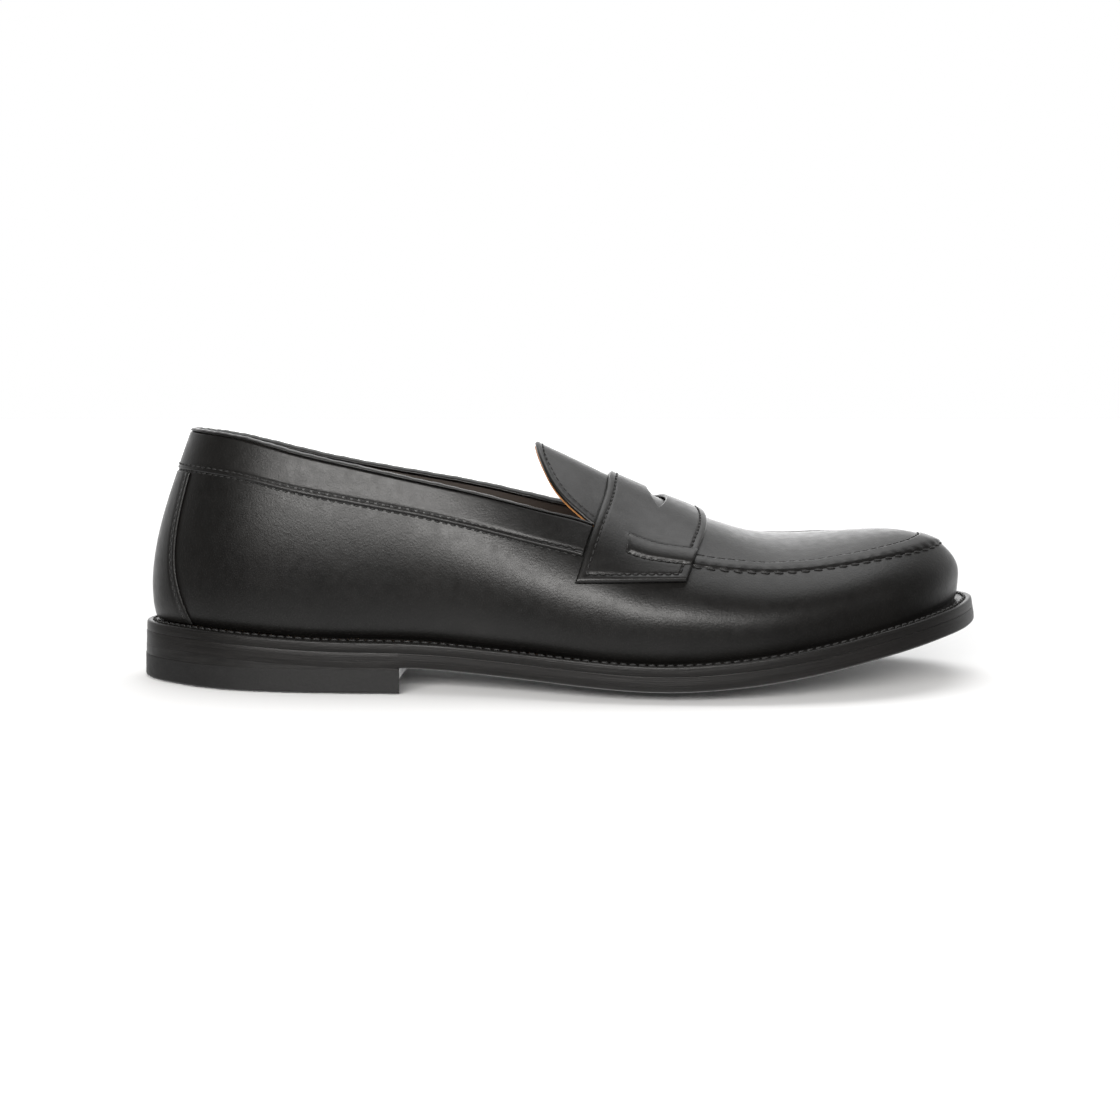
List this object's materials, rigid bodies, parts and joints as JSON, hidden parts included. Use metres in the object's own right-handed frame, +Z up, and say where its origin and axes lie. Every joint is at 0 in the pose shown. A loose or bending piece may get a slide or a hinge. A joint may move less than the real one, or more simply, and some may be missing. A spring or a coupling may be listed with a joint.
{
  "type": "penny loafer",
  "caption": "Slip-on penny loafer for the right foot, in smooth black leather, with a stitched apron, a slotted saddle strap, a raised tongue, a stitched-down welt and a low heel.",
  "frame": {"origin": "on the floor, under the middle of the shoe's length and width", "axes": "+X towards the toe, +Z up, +Y to the inner (medial) side and -Y to the outer side; the heel and the ball of the sole rest on Z = 0"},
  "size_m": [0.3009, 0.1055, 0.089],
  "materials": {
    "upper_black": "smooth polished black calf with a fine grain",
    "lining_tan": "matte tan lining leather",
    "lining_dark": "matte dark brown lining leather",
    "insole_leather": "raw vegetable-tanned leather",
    "sole_leather": "leather, black edge dressing and polished black bottom",
    "welt_leather": "black edge-dressed welting leather",
    "heel_leather": "stacked leather, black edge dressing",
    "rubber_top": "hard black rubber, satin",
    "cork": "granulated cork",
    "stiffener": "stiffened fibre board",
    "nail_steel": "plain steel wire nail",
    "shank_steel": "spring steel strip",
    "thread_black": "waxed black thread"
  },
  "bodies": {
    "shoe": {"apron": "upper_black", "apron_lining": "lining_tan", "apron_stitching": "thread_black", "back_stay": "upper_black", "collar_band": "upper_black", "collar_stitching": "thread_black", "cork_filler": "cork", "heel_counter": "stiffener", "heel_lift": "heel_leather", "heel_nails": "nail_steel", "insole": "insole_leather", "outsole": "sole_leather", "quarter_lining": "lining_dark", "shank": "shank_steel", "sock_lining": "lining_tan", "stay_stitching": "thread_black", "strap": "upper_black", "strap_stitching": "thread_black", "toe_puff": "stiffener", "top_piece": "rubber_top", "topline_binding": "upper_black", "upper_wall": "upper_black", "vamp_lining": "lining_tan", "welt": "welt_leather", "welt_stitching": "thread_black"},
    "tongue": {"tongue": "upper_black", "tongue_lining": "lining_tan", "tongue_stitching": "thread_black"}
  },
  "joints": [
    {"name": "tongue_flex", "type": "hinge", "parent": "shoe", "child": "tongue", "pos_m": [0.0168, 0, 0.0712], "axis": [0, 1, 0], "range_deg": [0, 20], "stiffness_Nm_per_rad": 0.03}
  ]
}
